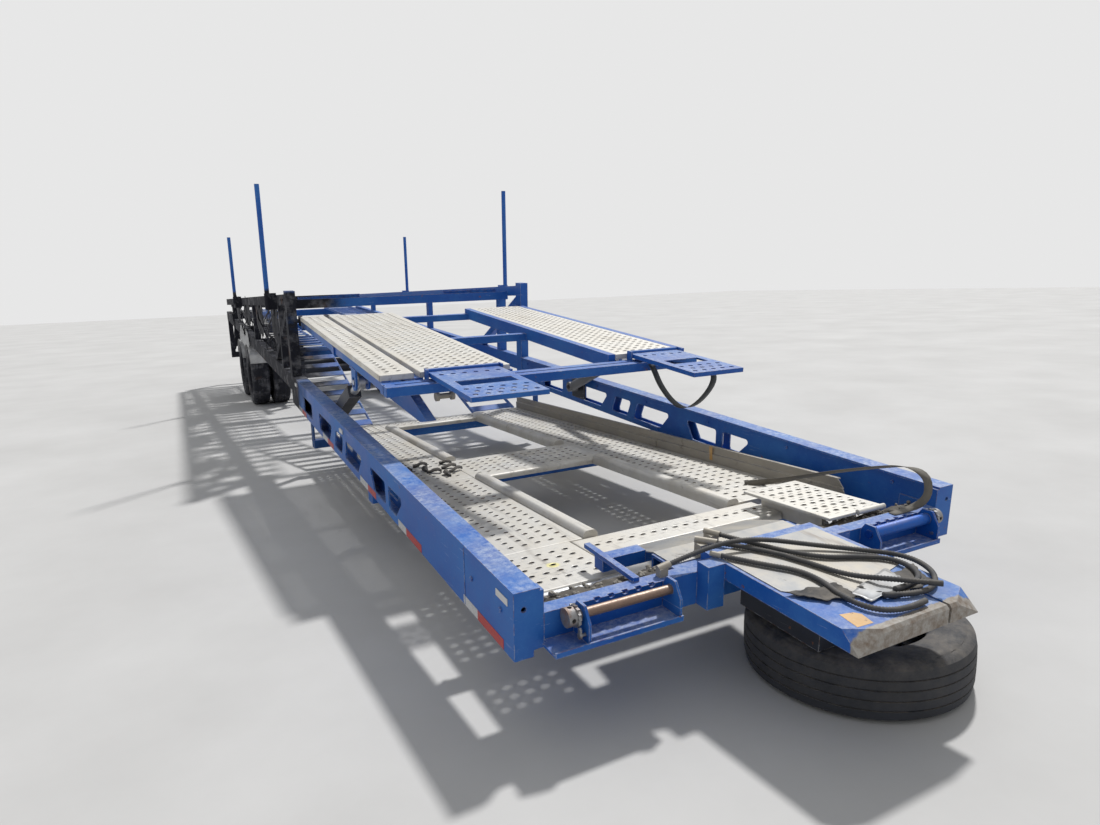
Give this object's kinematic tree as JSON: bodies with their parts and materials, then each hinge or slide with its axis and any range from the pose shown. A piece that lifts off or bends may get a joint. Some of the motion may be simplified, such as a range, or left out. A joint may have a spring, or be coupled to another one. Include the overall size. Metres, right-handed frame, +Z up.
{
  "type": "car transporter trailer",
  "caption": "Long low car transporter semi-trailer with box side rails, perforated decks, a lifting middle deck, guide posts and twin wheels, its tongue lying on a tyre.",
  "frame": {"origin": "on the ground under the middle of the trailer", "axes": "+Z up, -Y towards the tongue at the front, +Y to the rear, +X to the left side of a driver who looks forward"},
  "size_m": [2.8046, 14.0811, 2.8358],
  "materials": {
    "tyre": "worn tread, dusty",
    "hose_rubber": "ribbed black hose, dusty",
    "rim_steel": "painted, sooty on the left",
    "deck_aluminium": "perforated deck plank, worn and dusty",
    "dark_steel": "dark painted steel with rust",
    "grey_steel": "dull grey",
    "chrome_rod": "polished rod, dusty",
    "bare_steel": "bare steel, rusted",
    "fender_plastic": "dull grey, melted on the left",
    "blue_paint": "blue paint, chalked and scuffed at edges"
  },
  "bodies": {
    "chassis": {"axles": "dark_steel", "coupler": "dark_steel", "fender_left": "fender_plastic", "fender_right": "fender_plastic", "front_beam": "blue_paint", "front_cover_plate": "deck_aluminium", "hose_couplings": "bare_steel", "hose_left": "hose_rubber", "hose_long": "hose_rubber", "hose_middle": "hose_rubber", "hose_right": "hose_rubber", "kerb_plates": "deck_aluminium", "lift_brackets": "dark_steel", "lower_cross_members": "blue_paint", "lower_planks": "deck_aluminium", "lower_track_left": "deck_aluminium", "lower_track_right": "deck_aluminium", "lower_tubes": "deck_aluminium", "post_left": "blue_paint", "post_right": "blue_paint", "raised_plate": "deck_aluminium", "rear_bumper": "dark_steel", "rear_cross_members": "blue_paint", "rear_posts": "blue_paint", "rear_rails": "blue_paint", "rear_tracks": "blue_paint", "side_rail_left": "blue_paint", "side_rail_right": "blue_paint", "stake_sockets": "blue_paint", "stakes": "blue_paint", "stand_tyre": "tyre", "strap_winches": "bare_steel", "suspension": "dark_steel", "tongue": "blue_paint", "tongue_cover": "deck_aluminium", "top_cross_beams": "blue_paint", "top_rails": "blue_paint", "top_tracks": "blue_paint", "track_nose": "deck_aluminium"},
    "wheel_front_left": {"rims_front_left": "rim_steel", "tyres_front_left": "tyre"},
    "wheel_front_right": {"rims_front_right": "rim_steel", "tyres_front_right": "tyre"},
    "wheel_rear_left": {"rims_rear_left": "rim_steel", "tyres_rear_left": "tyre"},
    "wheel_rear_right": {"rims_rear_right": "rim_steel", "tyres_rear_right": "tyre"},
    "mid_deck": {"mid_deck_foot": "blue_paint", "mid_deck_frame": "blue_paint", "mid_plank_left_inner": "deck_aluminium", "mid_plank_left_outer": "deck_aluminium", "mid_plank_right": "deck_aluminium", "mid_winch": "bare_steel"},
    "flap_left": {"mid_flap_left": "blue_paint"},
    "barrel_left": {"lift_barrel_left": "dark_steel"},
    "piston_left": {"lift_rod_left": "chrome_rod"},
    "flap_right": {"mid_flap_right": "blue_paint"},
    "barrel_right": {"lift_barrel_right": "grey_steel"},
    "piston_right": {"lift_rod_right": "chrome_rod"}
  },
  "joints": [
    {"name": "wheel_front_left_spin", "type": "hinge", "parent": "chassis", "child": "wheel_front_left", "pos_m": [-1.13, 3.67742, 0.465], "axis": [1, 0, 0], "continuous": true},
    {"name": "wheel_front_right_spin", "type": "hinge", "parent": "chassis", "child": "wheel_front_right", "pos_m": [1.13, 3.67742, 0.465], "axis": [1, 0, 0], "continuous": true},
    {"name": "wheel_rear_left_spin", "type": "hinge", "parent": "chassis", "child": "wheel_rear_left", "pos_m": [-1.13, 4.92512, 0.465], "axis": [1, 0, 0], "continuous": true},
    {"name": "wheel_rear_right_spin", "type": "hinge", "parent": "chassis", "child": "wheel_rear_right", "pos_m": [1.13, 4.92512, 0.465], "axis": [1, 0, 0], "continuous": true},
    {"name": "mid_deck_lift", "type": "hinge", "parent": "chassis", "child": "mid_deck", "pos_m": [0, -1.11336, 1.45877], "axis": [-1, 0, 0], "range_deg": [0, 12]},
    {"name": "barrel_left_tilt", "type": "hinge", "parent": "chassis", "child": "barrel_left", "pos_m": [-1.128, -2.46163, 0.7309], "axis": [-1, 0, 0], "range_deg": [0, 21.1]},
    {"name": "piston_left_slide", "type": "slide", "parent": "barrel_left", "child": "piston_left", "axis": [0, -0.9299, 0.3678], "range_m": [0, 0.275]},
    {"name": "barrel_right_tilt", "type": "hinge", "parent": "chassis", "child": "barrel_right", "pos_m": [1.128, -2.46163, 0.7309], "axis": [-1, 0, 0], "range_deg": [0, 21.1]},
    {"name": "piston_right_slide", "type": "slide", "parent": "barrel_right", "child": "piston_right", "axis": [0, -0.9299, 0.3678], "range_m": [0, 0.275]},
    {"name": "flap_left_flip", "type": "hinge", "parent": "mid_deck", "child": "flap_left", "pos_m": [-0.6325, -4.14815, 1.21311], "axis": [-1, 0, 0], "range_deg": [0, 180]},
    {"name": "flap_right_flip", "type": "hinge", "parent": "mid_deck", "child": "flap_right", "pos_m": [0.89, -4.14815, 1.21311], "axis": [-1, 0, 0], "range_deg": [0, 180]}
  ],
  "couplings": [
    {"joint": "barrel_left_tilt", "follows": "mid_deck_lift", "ratio": 1.752},
    {"joint": "piston_left_slide", "follows": "mid_deck_lift", "m_per_rad": 1.3076},
    {"joint": "barrel_right_tilt", "follows": "mid_deck_lift", "ratio": 1.752},
    {"joint": "piston_right_slide", "follows": "mid_deck_lift", "m_per_rad": 1.3076}
  ]
}
